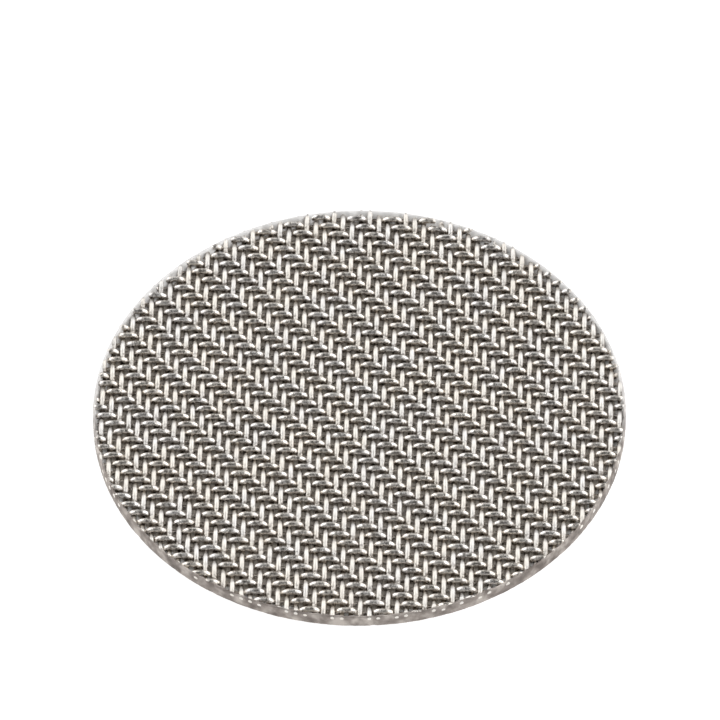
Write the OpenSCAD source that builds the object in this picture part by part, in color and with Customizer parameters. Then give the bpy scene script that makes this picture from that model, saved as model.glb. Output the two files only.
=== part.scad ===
// Wire mesh filter disc: 2/2 twill of round wire on both faces, pressed and bonded into one plate,
// then cut round, with the cut wire ends smeared into a smooth rim.
// The origin is at the centre of the lower face and +Z is the disc's axis.

/* [Disc] */
// Outside diameter of the disc
disc_d = 58.5; // [49:0.5:60]
// Thickness of the disc from land to land
disc_t = 1.7; // [1.5:0.1:2.5]
// Radius that rounds the rim into each face
edge_r = 0.35; // [0.15:0.05:0.5]
// Width of the smooth land that the cut leaves on each face inside the rounding
land_w = 0.3; // [0.2:0.05:1]

/* [Weave] */
// Distance from one warp wire to the next
warp_pitch = 1.1; // [1.05:0.05:2]
// Distance from one weft wire to the next
weft_pitch = 1.28; // [1.22:0.02:2]
// Turn of the warp wires away from the Y axis, in degrees
warp_turn = -1.6; // [-10:0.1:10]
// Turn of the weft wires away from the X axis, in degrees
weft_turn = -3.2; // [-10:0.1:10]
// Depth of the pores between the wires, below the land
pore_depth = 0.4; // [0.2:0.05:0.6]
// Drop of the wire crowns below the land
crown_drop = 0.02; // [0.01:0.01:0.1]

/* [Hidden] */
$fn = 180;

disc_r = disc_d / 2;
flat_r = disc_r - edge_r;
land_r = flat_r - land_w;
// The sheet's cut edge lies inside the rim, under the middle of the land
sheet_r = flat_r - land_w / 2;
// Step of the rounding's outline, in degrees
round_step = 30;
// The rim's tongue reaches under the last floats, and lies this far below their pores
tongue_gap = 0.05;
tongue_w = 2 * max(warp_pitch, weft_pitch);
tongue_z = pore_depth + tongue_gap;

warp_dir = [-sin(warp_turn), cos(warp_turn)];
weft_dir = [cos(weft_turn), sin(weft_turn)];

// A float is the stretch of wire that shows between two dips, and covers two crossings.
// Float [m, n] is a warp float where n is even and a weft float where n is odd.
function float_centre(f) = [f[0] + f[1] / 2, 1.5 * f[1] - f[0]];
function is_warp(f) = f[1] % 2 == 0;

// Corners round a float, and the float that lies across the side that starts at each corner
WARP_CORNERS = [[-0.5, -1], [0.5, -1], [0.5, 0], [0.5, 1], [-0.5, 1], [-0.5, 0]];
WEFT_CORNERS = [[-1, -0.5], [0, -0.5], [1, -0.5], [1, 0.5], [0, 0.5], [-1, 0.5]];
NEIGHBOURS = [[0, -1], [1, 0], [1, 1], [0, 1], [-1, 0], [-1, -1]];
SIDES = [0:5];

// A point of the weave, counted in wires, as millimetres on the disc
function on_disc(uv) = uv[0] * warp_pitch * weft_dir + uv[1] * weft_pitch * warp_dir;
function cut_round(p) = norm(p) > sheet_r ? p * sheet_r / norm(p) : p;
function crown(f) = on_disc(float_centre(f));
function pore(f, side) = let (corners = is_warp(f) ? WARP_CORNERS : WEFT_CORNERS)
    cut_round(on_disc(float_centre(f) + corners[side % 6]));
function on_sheet(f) = norm(crown(f)) < land_r;

function low(p, z) = [p[0], p[1], z];
function high(p, z) = [p[0], p[1], disc_t - z];

// The six sloping facets of a float on the upper face, and the same six on the lower face
function float_facets(f) = [
    for (side = SIDES) let (a = pore(f, side), b = pore(f, side + 1)) each [
        [high(crown(f), crown_drop), high(b, pore_depth), high(a, pore_depth)],
        [low(crown(f), crown_drop), low(a, pore_depth), low(b, pore_depth)]
    ]
];

// The upright wall of the sheet along each side that has no float across it
function edge_facets(f) = [
    for (side = SIDES) if (!on_sheet(f + NEIGHBOURS[side]))
        let (a = pore(f, side), b = pore(f, side + 1)) each [
            [high(a, pore_depth), high(b, pore_depth), low(b, pore_depth)],
            [high(a, pore_depth), low(b, pore_depth), low(a, pore_depth)]
        ]
];

module woven_sheet() {
    reach = ceil(disc_d / min(warp_pitch, weft_pitch));
    floats = [
        for (n = [-reach:reach]) for (m = [-2 * reach:2 * reach]) if (on_sheet([m, n])) [m, n]
    ];
    facets = [for (f = floats) each concat(float_facets(f), edge_facets(f))];
    polyhedron(
        points = [for (facet = facets) each facet],
        faces = [for (i = [0:len(facets) - 1]) [3 * i, 3 * i + 1, 3 * i + 2]]
    );
}

// The rounding between the land and the outer wall, with its middle at height z
function rounding(z) = [
    for (a = [90:-round_step:0]) [flat_r + edge_r * cos(a), z + edge_r * sin(a)]
];
// The same points on the lower half of the section, in the order that goes on round it
function flipped(points) = [for (i = [len(points) - 1:-1:0]) [points[i][0], disc_t - points[i][1]]];

module rim_section() {
    upper_half = concat(
        [[land_r - tongue_w, disc_t - tongue_z], [land_r, disc_t - tongue_z], [land_r, disc_t]],
        rounding(disc_t - edge_r)
    );
    polygon(concat(upper_half, flipped(upper_half)));
}

module mesh_disc() {
    color([0.73, 0.71, 0.69]) {
        woven_sheet();
        rotate_extrude() rim_section();
    }
}

mesh_disc();
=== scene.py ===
import math
from collections import namedtuple

import bpy
import numpy as np
from mathutils import Matrix, Vector


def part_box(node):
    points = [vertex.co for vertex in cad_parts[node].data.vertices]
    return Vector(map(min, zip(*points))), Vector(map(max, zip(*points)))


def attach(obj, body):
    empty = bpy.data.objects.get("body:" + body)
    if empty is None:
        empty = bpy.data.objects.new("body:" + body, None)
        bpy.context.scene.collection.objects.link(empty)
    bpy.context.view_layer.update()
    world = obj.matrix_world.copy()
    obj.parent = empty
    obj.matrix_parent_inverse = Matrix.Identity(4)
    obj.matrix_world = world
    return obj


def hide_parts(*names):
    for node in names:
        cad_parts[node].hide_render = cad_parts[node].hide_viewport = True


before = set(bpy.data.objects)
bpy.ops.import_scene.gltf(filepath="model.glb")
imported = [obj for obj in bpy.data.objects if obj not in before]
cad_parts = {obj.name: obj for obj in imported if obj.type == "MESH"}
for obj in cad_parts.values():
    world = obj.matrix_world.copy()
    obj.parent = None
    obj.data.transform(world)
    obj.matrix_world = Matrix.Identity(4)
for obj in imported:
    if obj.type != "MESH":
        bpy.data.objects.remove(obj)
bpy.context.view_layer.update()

# Sizes are in millimetres, and become metres where a mesh or a material takes them.
# The near edge of the disc lies at -Y, towards the photo's viewer, and the far edge at +Y.
MM = 0.001
NODE = "mesh_disc"
# The wires and the rim stay this far inside the box of the solid
BOX_GAP = 0.004
low_corner, high_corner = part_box(NODE)
THICK = (high_corner.z - low_corner.z) / MM
DISC_R = min(-low_corner.x, -low_corner.y, high_corner.x, high_corner.y) / MM - BOX_GAP


def heading(turn):
    """Direction in the plane of the disc, from its turn away from +X in degrees."""
    return np.array([math.cos(math.radians(turn)), math.sin(math.radians(turn))])


# Weave: a 2/2 twill, with each wire over two and under two, so that it repeats every four wires
REPEAT = 4.0
WARP_DIR = heading(88.386)
WEFT_DIR = heading(-3.10)
WARP_PITCH = 0.9965
WEFT_PITCH = 1.1651
WARP_D = 0.57
WEFT_D = 0.62
# Place of wire 0 from the axis, and of the middle of its float, counted in wires
WARP_SHIFT = 0.643
WEFT_SHIFT = 0.0536
WARP_FLOAT = 0.5
WEFT_FLOAT = 2.5
# Rise and fall of a wire's middle
CRIMP = 0.315
# Level stretch on each side of a float's middle, counted in wires
WARP_FLAT = 0.15
WEFT_FLAT = 0.38
# Depth that the press takes off the crowns
PRESS = 0.012

# The wefts bow a little towards the disc's sides, and their spacing varies slowly
WEFT_BOW = 0.41
WEFT_DRIFT = 0.154
DRIFT_LENGTH = 6.345

# Unevenness of single wires: radius, height of the floats, and sway to the sides
RADIUS_RANGE = (0.985, 1.015)
LIFT = 0.05
LIFT_WAVES = (0.9, 0.31)
SWAY_RANGE = (0.006, 0.018)
SWAY_WAVES = (0.55, 1.9)
# Difference between the streaks of one wire and the next
WIRE_TAG = 3.7

# A wire's course is tried in small steps, and a stub of fewer steps than this is left out
TRIAL_STEP = 0.02
TRIAL_REACH = 2.0
STUB_STEPS = 120
# Half of the stretch that a slope is taken over
SLOPE_STEP = 0.02

# Cut ends lie on the first circle, and the rings before them stay within the second
CUT_R = DISC_R - 0.1
CUT_LIMIT = CUT_R - 0.03
# Rings keep this far from an end, which is thinner than the rest of its wire
END_CLEAR = 0.12
END_TAPER = 0.75
# Ends above this level and squarer than this stand proud of the wall, and are smeared upwards
PROUD_LEVEL = -0.15
PROUD_SQUARE = 0.8
PROUD_R = DISC_R - 0.012
END_RISE = 0.2

# Places of the rings along a float, in wires, and of the points round a wire, in degrees
UPPER_STEPS = [-1.6, -1.25, -1.0, -0.8, -0.6, -0.4, -0.2, 0.0, 0.2, 0.4, 0.6, 0.8, 1.0, 1.25, 1.6, 2.0]
UPPER_ANGLES = [-140, -100, -66, -40, -14, 14, 40, 66, 100, 140]
LOWER_STEPS = [-1.5, -1.0, -0.7, -0.4, 0.0, 0.4, 0.7, 1.0, 1.5, 2.0]
LOWER_ANGLES = [-130, -80, -45, -15, 15, 45, 80, 130]

# Rim: upper rounding, smeared land, slope that fills the last pores, and sink of the land below the
# crowns, each at the near and the far edge
RIM_SIDES = 1200
EDGE_NEAR, EDGE_FAR = 0.2, 0.12
LAND_NEAR, LAND_FAR = 0.05, 0.16
FILL_NEAR, FILL_FAR = 0.1, 0.28
SINK_NEAR, SINK_FAR = 0.05, 0.07
# Lower rounding and land, the land's sink, and the rim's hidden inner reach
EDGE_LOW = 0.3
LAND_LOW = 0.30
SINK_LOW = 0.01
RIM_DEPTH = 2.6
# Unevenness round the rim: width and sink of the lands, and dents in the lower rounding
RAGGED = 0.2
RAGGED_LOW = 0.07
SINK_WAVE = 0.025
SINK_WAVE_LOW = 0.09
DENT = 0.09
# The wall lies inside the box by the inset, which varies, and has one crease and small bumps
INSET = 0.02
INSET_WAVE = 0.015
INSET_SLOW = 0.008
WALL_BUMP = 0.018
CREASE_TURN = math.radians(-87.4)
CREASE_WIDTH = 0.006
CREASE_DEPTH = 0.10

# Fine core between the two woven faces
CORE_SIDES = 180
CORE_TOP = 0.95
CORE_R = DISC_R - 1.2

# Finish of the wires: colour of the crowns, roughness of dull and bright patches, depth of the drawn
# grooves and of the pits, and strength of the mottling, a painted dark reflection, on the middle of a float
Finish = namedtuple("Finish", "shine dull bright groove pitting mottle")
WARP_FINISH = Finish((0.85, 0.825, 0.79), 0.42, 0.32, 0.25, 0.5, 0.0)
WEFT_FINISH = Finish((0.98, 0.95, 0.91), 0.32, 0.24, 0.1, 0.9, 0.8)
PLAIN = (1.0, 1.0, 1.0)
# Heights between which the painted shade on the upper wires goes from dark to the crowns' colour
PORE_Z = 0.95
CROWN_Z = 1.58

# Light levels of the tent's parts
SIDE_LIGHT = 2.0
SWEEP_LIGHT = 0.5
WALL_LIGHT = 1.0
BACK_LIGHT = 0.33
FRONT_LIGHT = 0.40
TOP_LIGHT = 0.10

# Floor: half its side and its drop below the disc, both in metres, then its paint and its glow
FLOOR_SIZE = 2.0
FLOOR_DROP = 0.00001
FLOOR_PAINT = (0.36, 0.36, 0.36, 1.0)
FLOOR_GLOW = 0.88

# Camera: angles in degrees, and its place beside, above and behind the middle of the upper face
CAMERA_TILT = 49.596
CAMERA_ROLL = -0.629
CAMERA_BESIDE = 0.0689
CAMERA_ABOVE = 5.5502
CAMERA_BEHIND = 1369.27
CAMERA_LENS = 624.6
CAMERA_SENSOR = 36.0

rng = np.random.default_rng(11)

WireSet = namedtuple("WireSet", "wire_d direction across pitch shift cross_pitch cross_shift middle flat")
WARPS = WireSet(
    WARP_D, WARP_DIR, WEFT_DIR, WARP_PITCH, WARP_SHIFT, WEFT_PITCH, WEFT_SHIFT, WARP_FLOAT, WARP_FLAT
)
WEFTS = WireSet(
    WEFT_D, WEFT_DIR, WARP_DIR, WEFT_PITCH, WEFT_SHIFT, WARP_PITCH, WARP_SHIFT, WEFT_FLOAT, WEFT_FLAT
)


def make_object(name, points, faces, labels=None):
    """A mesh object, with its ends of five corners or more shaded flat."""
    mesh = bpy.data.meshes.new(name)
    mesh.from_pydata((np.asarray(points) * MM).tolist(), [], faces)
    mesh.polygons.foreach_set("use_smooth", [len(face) < 5 for face in faces])
    for label, values in (labels or {}).items():
        layer = mesh.attributes.new(label, "FLOAT_VECTOR", "POINT")
        layer.data.foreach_set("vector", np.asarray(values, np.float32).ravel())
    mesh.validate()
    made = bpy.data.objects.new(name, mesh)
    bpy.context.collection.objects.link(made)
    return made


def far_share(turn):
    """0 at the near edge of the disc and 1 at the far edge, where the cut smeared the wires most."""
    return (0.5 + 0.5 * np.sin(turn)) ** 3


def near_to_far(near, far, turn):
    return near + (far - near) * far_share(turn)


def ceiling(x, y):
    """Highest z of a wire: the disc's rounded outline."""
    edge = near_to_far(EDGE_NEAR, EDGE_FAR, np.arctan2(y, x))
    out = np.clip((np.hypot(x, y) - (DISC_R - edge)) / edge, 0.0, 1.0)
    return THICK - edge + edge * np.sqrt(1.0 - out ** 2)


def off_middle(step):
    """Distance from the middle of the nearest float, in wires."""
    return np.abs((step + REPEAT / 2) % REPEAT - REPEAT / 2)


def crimp(step, flat):
    """Height of a wire's middle, from -1 to 1, for its step from the middle of a float."""
    return np.cos(np.pi * np.clip((off_middle(step) - flat) / (REPEAT / 2 - 2.0 * flat), 0.0, 1.0))


def stray(x, y):
    """How far the weave lies from an even one, along Y."""
    return -WEFT_BOW * (x / DISC_R) ** 2 - WEFT_DRIFT * np.sin(y / DRIFT_LENGTH)


def slide_to(x, y, direction, radius):
    """Points moved along a wire onto a circle round the disc's axis."""
    along = x * direction[0] + y * direction[1]
    inside = np.maximum(along ** 2 - x ** 2 - y ** 2 + radius ** 2, 0.0)
    step = np.sign(along) * np.sqrt(inside) - along
    return x + step * direction[0], y + step * direction[1]


def one_wire(wires, index, steps, angles, flip):
    """Rings of points along one wire, and what its material reads there, or None for a stub."""
    direction = wires.direction
    side = np.array([direction[1], -direction[0]])
    base = (index + wires.shift) * wires.pitch * wires.across
    middle = wires.middle - index
    wire_r = wires.wire_d / 2 * rng.uniform(*RADIUS_RANGE)
    phases = rng.uniform(0, 2 * np.pi, 4)
    wobble = rng.uniform(*SWAY_RANGE, 2)

    def centre(t):
        x = base[0] + t * direction[0]
        y = base[1] + t * direction[1]
        return x, y + stray(x, y)

    def step_at(t):
        return t / wires.cross_pitch - wires.cross_shift - middle

    trial = np.arange(-DISC_R - TRIAL_REACH, DISC_R + TRIAL_REACH, TRIAL_STEP)
    inside = trial[np.hypot(*centre(trial)) < CUT_R]
    if len(inside) < STUB_STEPS:
        return None
    start, stop = inside[0], inside[-1]

    # Places of the rings along the wire
    lowest = math.floor(step_at(start) / REPEAT) - 1
    highest = math.ceil(step_at(stop) / REPEAT) + 1
    repeats = np.arange(lowest, highest + 1)
    marks = (middle + REPEAT * repeats[:, None] + np.asarray(steps)[None, :]).ravel()
    marks = np.sort((marks + wires.cross_shift) * wires.cross_pitch)
    marks = marks[(marks > start + END_CLEAR) & (marks < stop - END_CLEAR)]
    marks = np.concatenate([[start], marks, [stop]])

    # The crimp, slightly uneven from float to float
    swell = LIFT * np.sin(marks * LIFT_WAVES[0] + phases[0]) * np.sin(marks * LIFT_WAVES[1] + phases[1])
    height = CRIMP * (1.0 + swell) * crimp(step_at(marks), wires.flat)
    ahead = CRIMP * crimp(step_at(marks + SLOPE_STEP), wires.flat)
    behind = CRIMP * crimp(step_at(marks - SLOPE_STEP), wires.flat)
    slope = np.arctan2(ahead - behind, 2 * SLOPE_STEP)
    sway = wobble[0] * np.sin(marks * SWAY_WAVES[0] + phases[2])
    sway = sway + wobble[1] * np.sin(marks * SWAY_WAVES[1] + phases[3])

    # Points round the wire, kept inside the rim
    turn = np.broadcast_to(angles[None, :], (len(marks), len(angles)))
    thick = np.full((len(marks), 1), wire_r)
    thick[[0, -1]] *= END_TAPER
    rise = thick * np.cos(turn)
    along = -np.sin(slope)[:, None] * rise
    offset = thick * np.sin(turn) + sway[:, None]
    x, y = centre(marks)
    x = x[:, None] + along * direction[0] + offset * side[0]
    y = y[:, None] + along * direction[1] + offset * side[1]
    end_x, end_y = slide_to(x, y, direction, CUT_LIMIT)
    outside = np.hypot(x, y) > CUT_LIMIT
    x, y = np.where(outside, end_x, x), np.where(outside, end_y, y)
    level = THICK - (CRIMP + WEFT_D / 2) + PRESS + height[:, None] + np.cos(slope)[:, None] * rise
    z = np.minimum(level, THICK) - THICK + ceiling(x, y)

    # Ends cut nearly square in the upper half of the wall stand proud of it, and the others stay inside
    for row in (0, -1):
        square = abs(x[row].mean() * direction[0] + y[row].mean() * direction[1]) / CUT_R
        proud = not flip and height[row] > PROUD_LEVEL and square > PROUD_SQUARE
        x[row], y[row] = slide_to(x[row], y[row], direction, PROUD_R if proud else CUT_R)
        end_level = level[row] + END_RISE if proud else level[row]
        z[row] = end_level - max(0.0, end_level.max() - ceiling(x[row], y[row]).min())
    if flip:
        z = THICK - z

    # Direction round the wire, which the brushed look follows
    lean = np.sin(turn) * np.sin(slope)[:, None]
    drop = -np.sin(turn) * np.cos(slope)[:, None]
    round_x = np.cos(turn) * side[0] + lean * direction[0]
    round_y = np.cos(turn) * side[1] + lean * direction[1]
    labels = {
        "grain": np.stack([turn, marks[:, None] + along, np.full(x.shape, index * WIRE_TAG)], axis=2),
        "around": np.stack([round_x, round_y, -drop if flip else drop], axis=2),
        "from_middle": np.broadcast_to(off_middle(step_at(marks))[:, None, None], (*x.shape, 3)),
    }
    return np.stack([x, y, z], axis=2), labels


def tube_faces(rings, sides, first, flip):
    """Faces of a closed tube whose points start at the index first."""
    ring = np.arange(sides)
    ring_next = (ring + 1) % sides
    rows = np.arange(rings - 1)[:, None] * sides + first
    quads = np.stack([rows + ring, rows + ring_next, rows + sides + ring_next, rows + sides + ring], axis=2)
    head = ring[::-1] + first
    tail = ring + first + (rings - 1) * sides
    faces = quads.reshape(-1, 4).tolist() + [head.tolist(), tail.tolist()]
    return [face[::-1] for face in faces] if flip else faces


def wire_layer(name, wires, steps, angles, flip):
    """One set of parallel wires of the weave, as closed tubes that end on the rim's circle."""
    count = int(DISC_R / wires.pitch) + 3
    points, faces, total = [], [], 0
    labels = {"grain": [], "around": [], "from_middle": []}
    for index in range(-count, count + 1):
        wire = one_wire(wires, index, steps, np.radians(angles), flip)
        if wire is None:
            continue
        wire_points, wire_labels = wire
        rings, sides = wire_points.shape[:2]
        points.append(wire_points.reshape(-1, 3))
        for label, values in wire_labels.items():
            labels[label].append(values.reshape(-1, 3))
        faces.extend(tube_faces(rings, sides, total, flip))
        total += rings * sides
    labels = {label: np.concatenate(values) for label, values in labels.items()}
    return make_object(name, np.concatenate(points), faces, labels)


def rim_ring(name):
    """The smeared rim: wall, roundings and lands, closed on its hidden inner side."""
    seeds = np.random.default_rng(5)
    turns = np.arange(RIM_SIDES) * 2 * np.pi / RIM_SIDES
    rows = []

    def waves(*counts):
        """A smooth seeded wave round the rim, from about -1 to 1."""
        made = np.zeros_like(turns)
        for count in counts:
            made += seeds.uniform(0.5, 1.0) * np.sin(count * turns + seeds.uniform(0, 2 * np.pi))
        return made / len(counts)

    def add(radius, height):
        height = np.broadcast_to(height, turns.shape)
        rows.append(np.stack([radius * np.cos(turns), radius * np.sin(turns), height], axis=1))

    ragged = waves(61, 83, 118, 151, 187)
    slow = waves(3, 7, 12, 19, 26)
    off_crease = (turns - CREASE_TURN + np.pi) % (2 * np.pi) - np.pi
    crease = CREASE_DEPTH * np.exp(-(off_crease / CREASE_WIDTH) ** 2)
    land = np.maximum(near_to_far(LAND_NEAR, LAND_FAR, turns) + RAGGED * ragged, 0.02)
    land_low = LAND_LOW + RAGGED_LOW * waves(58, 77, 121, 160)
    sink = near_to_far(SINK_NEAR, SINK_FAR, turns) + SINK_WAVE * waves(23, 41, 67)
    sink_low = SINK_LOW + SINK_WAVE_LOW * np.abs(waves(9, 21, 47, 71))
    inset = INSET + INSET_WAVE * np.abs(waves(31, 57, 95)) + INSET_SLOW * slow + crease
    dent = DENT * np.abs(waves(29, 53, 88, 120))
    edge = near_to_far(EDGE_NEAR, EDGE_FAR, turns)
    fill = near_to_far(FILL_NEAR, FILL_FAR, turns)
    corner = DISC_R - edge
    corner_low = DISC_R - EDGE_LOW

    # From the hidden inner side up the slope to the upper land
    add(DISC_R - RIM_DEPTH, THICK / 2)
    add(corner - land - fill - 0.2, CORE_TOP + 0.02)
    add(corner - land - fill, THICK - 0.42 + 0.06 * ragged)
    add(corner - land - 0.5 * fill, THICK - 0.24 + 0.04 * ragged)
    add(corner - land, THICK - sink - 0.02)
    add(corner - 0.5 * land, THICK - sink)
    # Over the upper rounding, down the wall and round the lower edge
    for angle in (78, 58, 38, 18):
        a = math.radians(angle)
        add(corner + (edge - inset) * math.cos(a), THICK - sink - (edge - 0.5 * sink) * (1.0 - math.sin(a)))
    for share in (0.8, 0.6, 0.4, 0.2):
        bump = WALL_BUMP * np.abs(waves(17, 38, 71, 133, 211))
        add(DISC_R - inset - bump, EDGE_LOW + share * (THICK - edge - EDGE_LOW))
    for angle in (-18, -38, -58, -78):
        a = math.radians(angle)
        height = EDGE_LOW + (EDGE_LOW - sink_low) * math.sin(a)
        add(corner_low + (EDGE_LOW - inset - dent) * math.cos(a), height)
    # Over the lower land and back inside
    add(corner_low - 0.5 * land_low, 0.7 * sink_low)
    add(corner_low - land_low, sink_low)
    add(corner_low - land_low - 0.10, 0.11)
    add(corner_low - land_low - 0.30, 0.34)

    points = np.stack(rows, axis=1)
    per = points.shape[1]
    ring = np.arange(RIM_SIDES)[:, None] * per
    after = ((np.arange(RIM_SIDES) + 1) % RIM_SIDES)[:, None] * per
    spot = np.arange(per)
    spot_next = (spot + 1) % per
    quads = np.stack([ring + spot_next, after + spot_next, after + spot, ring + spot], axis=2)
    return make_object(name, points.reshape(-1, 3), quads.reshape(-1, 4).tolist())


def core_disc(name):
    """The fine filter layers between the two woven faces, seen only at the bottom of the pores."""
    turns = np.arange(CORE_SIDES) * 2 * np.pi / CORE_SIDES
    flat = np.stack([CORE_R * np.cos(turns), CORE_R * np.sin(turns)], axis=1)
    top = np.column_stack([flat, np.full(CORE_SIDES, CORE_TOP)])
    low = np.column_stack([flat, np.full(CORE_SIDES, THICK - CORE_TOP)])
    faces = [list(range(CORE_SIDES)), list(range(2 * CORE_SIDES - 1, CORE_SIDES - 1, -1))]
    for i in range(CORE_SIDES):
        j = (i + 1) % CORE_SIDES
        faces.append([i, i + CORE_SIDES, j + CORE_SIDES, j])
    made = make_object(name, np.concatenate([top, low]), faces)
    made.data.shade_flat()
    return made


class Nodes:
    """The node tree of a material or world, built from short calls that return outputs."""

    def __init__(self, owner):
        owner.use_nodes = True
        self.tree = owner.node_tree
        self.tree.nodes.clear()

    def add(self, kind, inputs=None, **settings):
        """A node with its settings, and with its inputs set to values or linked to outputs."""
        node = self.tree.nodes.new(kind)
        for key, value in settings.items():
            setattr(node, key, value)
        for socket, value in (inputs or {}).items():
            if isinstance(value, bpy.types.NodeSocket):
                self.tree.links.new(value, node.inputs[socket])
            else:
                node.inputs[socket].default_value = value
        return node.outputs

    def attribute(self, label, output="Vector"):
        return self.add("ShaderNodeAttribute", attribute_name=label)[output]

    def place(self):
        """Coordinates on the piece, their parts, and the distance from the disc's axis."""
        place = self.add("ShaderNodeTexCoord")["Object"]
        parts = self.add("ShaderNodeSeparateXYZ", {"Vector": place})
        flat = self.add("ShaderNodeCombineXYZ", {"X": parts["X"], "Y": parts["Y"]})["Vector"]
        radius = self.add("ShaderNodeVectorMath", {0: flat}, operation="LENGTH")["Value"]
        return place, parts, radius

    def maths(self, kind, first, second):
        return self.add("ShaderNodeMath", {0: first, 1: second}, operation=kind)["Value"]

    def product(self, first, *others):
        for other in others:
            first = self.maths("MULTIPLY", first, other)
        return first

    def even(self, source, low, high, start=0.0, stop=1.0):
        """An even change from low at start to high at stop."""
        inputs = {"Value": source, "From Min": start, "From Max": stop, "To Min": low, "To Max": high}
        return self.add("ShaderNodeMapRange", inputs)["Result"]

    def smooth(self, source, start, stop, top=1.0):
        """A soft step from 0 at start to top at stop."""
        inputs = {"Value": source, "From Min": start, "From Max": stop, "To Max": top}
        return self.add("ShaderNodeMapRange", inputs, interpolation_type="SMOOTHSTEP")["Result"]

    def noise(self, source, scale, detail):
        return self.add("ShaderNodeTexNoise", {"Vector": source, "Scale": scale, "Detail": detail})["Fac"]

    def ramp(self, source, *stops):
        node = self.tree.nodes.new("ShaderNodeValToRGB")
        self.tree.links.new(source, node.inputs["Fac"])
        elements = node.color_ramp.elements
        while len(elements) < len(stops):
            elements.new(0.5)
        for element, (spot, colour) in zip(elements, stops):
            element.position = spot
            element.color = (*colour, 1.0)
        return node.outputs["Color"]

    def mix(self, factor, first, second, blend="MIX"):
        inputs = {"Factor": factor, "A": first, "B": second}
        return self.add("ShaderNodeMix", inputs, data_type="RGBA", blend_type=blend)["Result"]

    def bump(self, height, strength, distance, normal=None):
        inputs = {"Height": height, "Strength": strength, "Distance": distance}
        if normal is not None:
            inputs["Normal"] = normal
        return self.add("ShaderNodeBump", inputs)["Normal"]

    def steel(self, inputs):
        """The surface of a material."""
        shader = self.add("ShaderNodeBsdfPrincipled", inputs)["BSDF"]
        self.add("ShaderNodeOutputMaterial", {"Surface": shader})


def wire_material(name, finish, flip):
    """Drawn stainless wire: bright crowns with fine lengthwise streaks, and painted shade that darkens it
    down in the pores.
    """
    material = bpy.data.materials.new(name)
    n = Nodes(material)
    place, parts, radius = n.place()
    low_z, high_z = (THICK - PORE_Z, THICK - CROWN_Z) if flip else (PORE_Z, CROWN_Z)
    tall = high_z - low_z
    # Painted shade: the colour darkens with depth below the crowns, and the cut ends keep the crowns'
    # colour
    depth = n.smooth(parts["Z"], low_z * MM, high_z * MM)
    cut_end = n.smooth(radius, (DISC_R - 0.10) * MM, (DISC_R - 0.03) * MM)
    lit = n.maths("MAXIMUM", depth, cut_end)
    shade = n.ramp(lit, (0.0, (0.58, 0.53, 0.48)), (0.5, (0.74, 0.70, 0.66)), (1.0, finish.shine))

    # Streaks along the wire, and a slow change of tint over the disc
    stretched = n.add("ShaderNodeMapping", {"Vector": n.attribute("grain"), "Scale": (2.6, 0.35, 1.0)})
    streaks = n.noise(stretched["Vector"], 1.6, 3.0)
    tone = n.ramp(streaks, (0.3, (0.80, 0.79, 0.78)), (0.62, PLAIN))
    warm, middling, cool = (1.0, 0.98, 0.945), (1.0, 0.99, 0.97), (0.98, 0.985, 0.995)
    tint = n.ramp(n.noise(place, 420.0, 0.0), (0.34, warm), (0.5, middling), (0.68, cool))
    colour = n.mix(1.0, n.mix(1.0, shade, tone, "MULTIPLY"), tint, "MULTIPLY")

    # Dark spots: painted shade below the crowns and a painted dark reflection mid-float, not on the cut
    # ends
    pits = n.noise(place, 3200.0, 2.0)
    spots = n.ramp(pits, (0.41, (0.32, 0.30, 0.285)), (0.53, PLAIN))
    flank = n.smooth(parts["Z"], (high_z + 0.16 * tall) * MM, (low_z + 0.63 * tall) * MM)
    middle = n.smooth(n.attribute("from_middle", "Fac"), 0.65, 0.35, finish.mottle)
    shade_spot_mask = n.product(n.maths("MAXIMUM", flank, middle), n.maths("SUBTRACT", 1.0, cut_end))

    drawn = n.bump(streaks, finish.groove, 0.02 * MM)
    pitted = n.bump(pits, finish.pitting, n.even(middle, 0.03 * MM, 0.08 * MM), drawn)
    n.steel({
        "Base Color": n.mix(shade_spot_mask, colour, spots, "MULTIPLY"),
        "Metallic": 1.0,
        "Roughness": n.even(n.noise(place, 900.0, 2.0), finish.dull, finish.bright, 0.3, 0.7),
        "Anisotropic": 0.9,
        "Tangent": n.attribute("around"),
        "Normal": pitted,
    })
    return material


def rim_material(name):
    """Smeared steel: pale and matt on the lands, duller and warmer on the cut wall."""
    material = bpy.data.materials.new(name)
    n = Nodes(material)
    place, parts, radius = n.place()
    near_edge = n.product(
        n.smooth(radius, (DISC_R - 0.45) * MM, (DISC_R - 0.22) * MM),
        n.smooth(parts["Y"], 0.3 * DISC_R * MM, -0.3 * DISC_R * MM),
    )
    cut_edge = n.product(
        n.smooth(radius, (DISC_R - 0.24) * MM, (DISC_R - 0.06) * MM),
        n.smooth(parts["Z"], (THICK - 0.18) * MM, (THICK - 0.32) * MM),
    )
    wall = n.maths("MAXIMUM", near_edge, cut_edge)
    patches = n.noise(place, 700.0, 4.0)
    land_tone = n.ramp(patches, (0.3, (0.74, 0.725, 0.71)), (0.7, (0.86, 0.85, 0.84)))
    dark, middling, pale = (0.23, 0.20, 0.182), (0.38, 0.34, 0.313), (0.59, 0.545, 0.505)
    wall_tone = n.ramp(patches, (0.34, dark), (0.5, middling), (0.66, pale))
    flattened = n.add("ShaderNodeMapping", {"Vector": place, "Scale": (1.0, 1.0, 4.0)})
    lines = n.noise(flattened["Vector"], 1500.0, 2.0)
    n.steel({
        "Base Color": n.mix(wall, land_tone, wall_tone),
        "Metallic": n.even(wall, 0.15, 1.0),
        "Roughness": n.even(wall, 0.45, 0.68),
        "Normal": n.bump(lines, 0.35, 0.04 * MM),
    })
    return material


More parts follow.
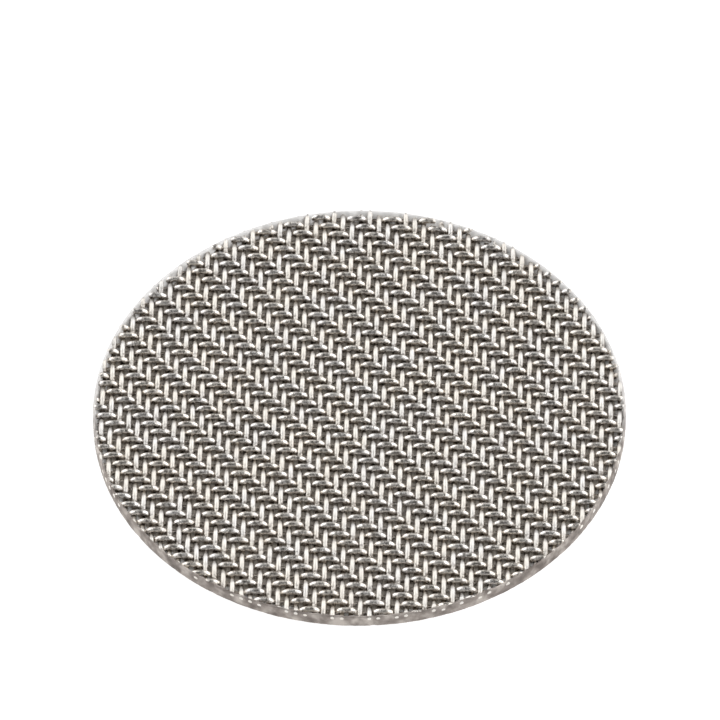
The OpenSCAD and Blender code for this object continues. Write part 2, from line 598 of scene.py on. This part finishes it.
def core_material(name):
    """Fine inner filter weave, its colour darkened as painted shade for the depth of the pores."""
    material = bpy.data.materials.new(name)
    n = Nodes(material)
    place = n.add("ShaderNodeTexCoord")["Object"]
    waves = {"Vector": place, "Scale": 1900.0, "Distortion": 0.6}
    along_x = n.add("ShaderNodeTexWave", waves, bands_direction="X")["Fac"]
    along_y = n.add("ShaderNodeTexWave", waves, bands_direction="Y")["Fac"]
    wires = n.maths("MAXIMUM", along_x, along_y)
    n.steel({
        "Base Color": n.ramp(wires, (0.25, (0.10, 0.085, 0.07)), (0.9, (0.60, 0.55, 0.49))),
        "Metallic": 0.3,
        "Roughness": 0.5,
        "Normal": n.bump(wires, 0.6, 0.05 * MM),
    })
    return material


def floor_material(name):
    """White floor that the camera and the metal see as white, and that keeps a soft shadow."""
    material = bpy.data.materials.new(name)
    n = Nodes(material)
    path = n.add("ShaderNodeLightPath")
    seen = n.maths("MAXIMUM", path["Is Camera Ray"], path["Is Glossy Ray"])
    paint = n.add("ShaderNodeBsdfDiffuse", {"Color": FLOOR_PAINT})["BSDF"]
    glow = n.add("ShaderNodeEmission", {"Strength": n.product(seen, FLOOR_GLOW)})["Emission"]
    both = n.add("ShaderNodeAddShader", {0: paint, 1: glow})["Shader"]
    n.add("ShaderNodeOutputMaterial", {"Surface": both})
    return material


def make_floor(name):
    size = FLOOR_SIZE
    corners = [(-size, -size, 0), (size, -size, 0), (size, size, 0), (-size, size, 0)]
    mesh = bpy.data.meshes.new(name)
    mesh.from_pydata(corners, [], [(0, 1, 2, 3)])
    mesh.materials.append(floor_material("white_floor"))
    made = bpy.data.objects.new(name, mesh)
    made.location.z = -FLOOR_DROP
    bpy.context.collection.objects.link(made)
    return made


def light_tent():
    """Bright sides, a strip over a dim back wall, a white sweep low down, a dim front and ceiling."""
    world = bpy.data.worlds.new("light_tent")
    bpy.context.scene.world = world
    n = Nodes(world)
    parts = n.add("ShaderNodeSeparateXYZ", {"Vector": n.add("ShaderNodeTexCoord")["Generated"]})
    x, y, z = parts["X"], parts["Y"], parts["Z"]

    # Each pair of numbers says where a part fades in and where it is full, along a unit direction
    below = n.product(n.smooth(z, 0.99, 0.88), n.smooth(y, 0.93, 0.80))
    right = n.product(n.smooth(x, 0.08, 0.32), n.smooth(y, -0.85, -0.45), below)
    left = n.product(n.smooth(x, -0.08, -0.32), n.smooth(y, -0.55, -0.1), below)
    sides = n.product(n.maths("ADD", right, left), n.smooth(z, 0.10, 0.35), SIDE_LIGHT)
    strip = n.product(n.smooth(z, 0.88, 0.82), n.smooth(z, 0.63, 0.70), WALL_LIGHT)
    back = n.product(n.maths("MAXIMUM", strip, BACK_LIGHT), n.smooth(y, 0.0, 0.45))
    sweep = n.product(n.smooth(z, 0.30, 0.10), n.smooth(y, 0.95, 0.55), SWEEP_LIGHT)
    front = n.product(n.smooth(z, 0.85, 0.5), FRONT_LIGHT - TOP_LIGHT)

    level = n.maths("MAXIMUM", n.maths("MAXIMUM", sides, back), sweep)
    strength = n.maths("ADD", level, n.maths("ADD", front, TOP_LIGHT))
    glow = n.add("ShaderNodeBackground", {"Strength": strength})["Background"]
    n.add("ShaderNodeOutputWorld", {"Surface": glow})


def place_camera():
    """The photo's camera: far off and long, looking down at about fifty degrees."""
    tilt = math.radians(CAMERA_TILT)
    roll = math.radians(CAMERA_ROLL)
    right = Vector((1.0, 0.0, 0.0))
    ahead = Vector((0.0, math.cos(tilt), -math.sin(tilt)))
    above = Vector((0.0, math.sin(tilt), math.cos(tilt)))
    cam_x = math.cos(roll) * right + math.sin(roll) * above
    cam_y = -math.sin(roll) * right + math.cos(roll) * above
    spot = CAMERA_BESIDE * cam_x + CAMERA_ABOVE * cam_y - CAMERA_BEHIND * ahead + Vector((0.0, 0.0, THICK))
    data = bpy.data.cameras.new("camera")
    data.sensor_width = CAMERA_SENSOR
    data.lens = CAMERA_LENS
    data.clip_start = 0.1
    data.clip_end = 20.0
    camera = bpy.data.objects.new("camera", data)
    turn = Matrix((cam_x, cam_y, -ahead)).transposed().to_4x4()
    camera.matrix_world = Matrix.Translation(spot * MM) @ turn
    bpy.context.collection.objects.link(camera)
    bpy.context.scene.camera = camera


made = [
    (
        wire_layer("upper_warps", WARPS, UPPER_STEPS, UPPER_ANGLES, False),
        wire_material("upper_warp_steel", WARP_FINISH, False),
    ),
    (
        wire_layer("upper_wefts", WEFTS, UPPER_STEPS, UPPER_ANGLES, False),
        wire_material("upper_weft_steel", WEFT_FINISH, False),
    ),
    (
        wire_layer("lower_warps", WARPS, LOWER_STEPS, LOWER_ANGLES, True),
        wire_material("lower_warp_steel", WARP_FINISH, True),
    ),
    (
        wire_layer("lower_wefts", WEFTS, LOWER_STEPS, LOWER_ANGLES, True),
        wire_material("lower_weft_steel", WEFT_FINISH, True),
    ),
    (rim_ring("rim"), rim_material("rim_steel")),
    (core_disc("filter_core"), core_material("core_steel")),
]
for piece, material in made:
    piece.data.materials.append(material)
    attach(piece, "root")
    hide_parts(NODE)

floor = make_floor("floor")

light_tent()
place_camera()
bpy.context.scene.view_settings.view_transform = "Standard"
